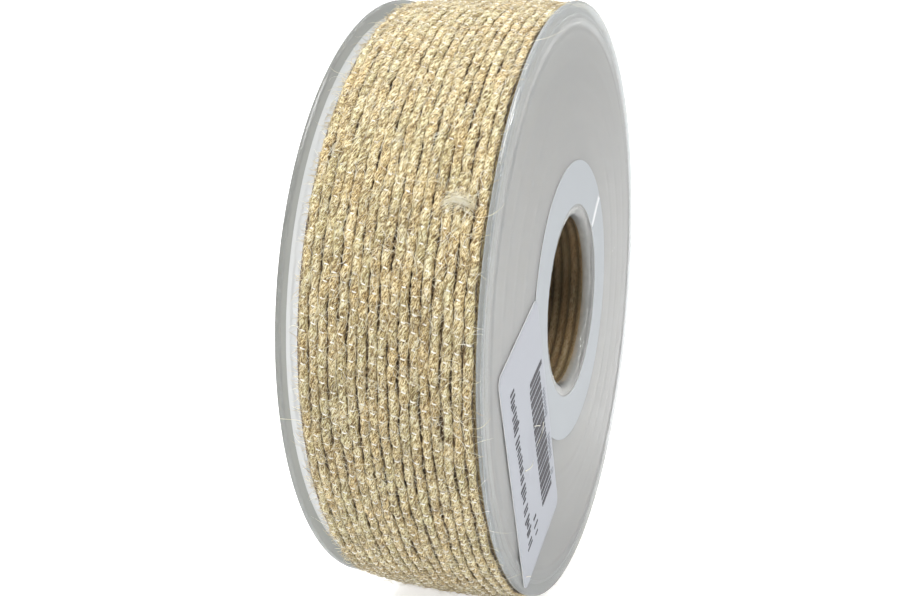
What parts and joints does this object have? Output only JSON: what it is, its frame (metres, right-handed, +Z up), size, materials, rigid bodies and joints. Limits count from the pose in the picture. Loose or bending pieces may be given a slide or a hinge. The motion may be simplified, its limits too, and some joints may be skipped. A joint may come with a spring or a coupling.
{
  "type": "ribbon spool",
  "caption": "Clear plastic two-flange spool, full of woven jute ribbon, with an open bore, a round paper sticker and a paper label on one side.",
  "frame": {"origin": "on the axis of the bore, midway between the outer faces of the two flanges", "axes": "+Y along the bore, away from the label side; +Z up as the spool stands on its two rims; +X completes the frame"},
  "size_m": [0.094, 0.0297, 0.094],
  "materials": {
    "clear_plastic": "clear moulded plastic with a faint haze",
    "jute_ribbon": "hairy natural jute yarns with a clear nylon weft",
    "clear_tape": "clear adhesive tape",
    "sticker_paper": "smooth white sticker paper",
    "label_paper": "white thermal label paper with plain bars"
  },
  "bodies": {
    "plain_side": {"plain_half": "clear_plastic"},
    "label_side": {"label_half": "clear_plastic", "round_sticker": "sticker_paper", "paper_label": "label_paper"},
    "ribbon": {"ribbon_roll": "jute_ribbon", "end_tape": "clear_tape"}
  },
  "joints": [
    {"name": "halves_pull_apart", "type": "slide", "parent": "plain_side", "child": "label_side", "axis": [0, -1, 0], "range_m": [0, 0.026]},
    {"name": "ribbon_unwind", "type": "hinge", "parent": "plain_side", "child": "ribbon", "pos_m": [0, 0, 0], "axis": [0, 1, 0], "continuous": true}
  ]
}
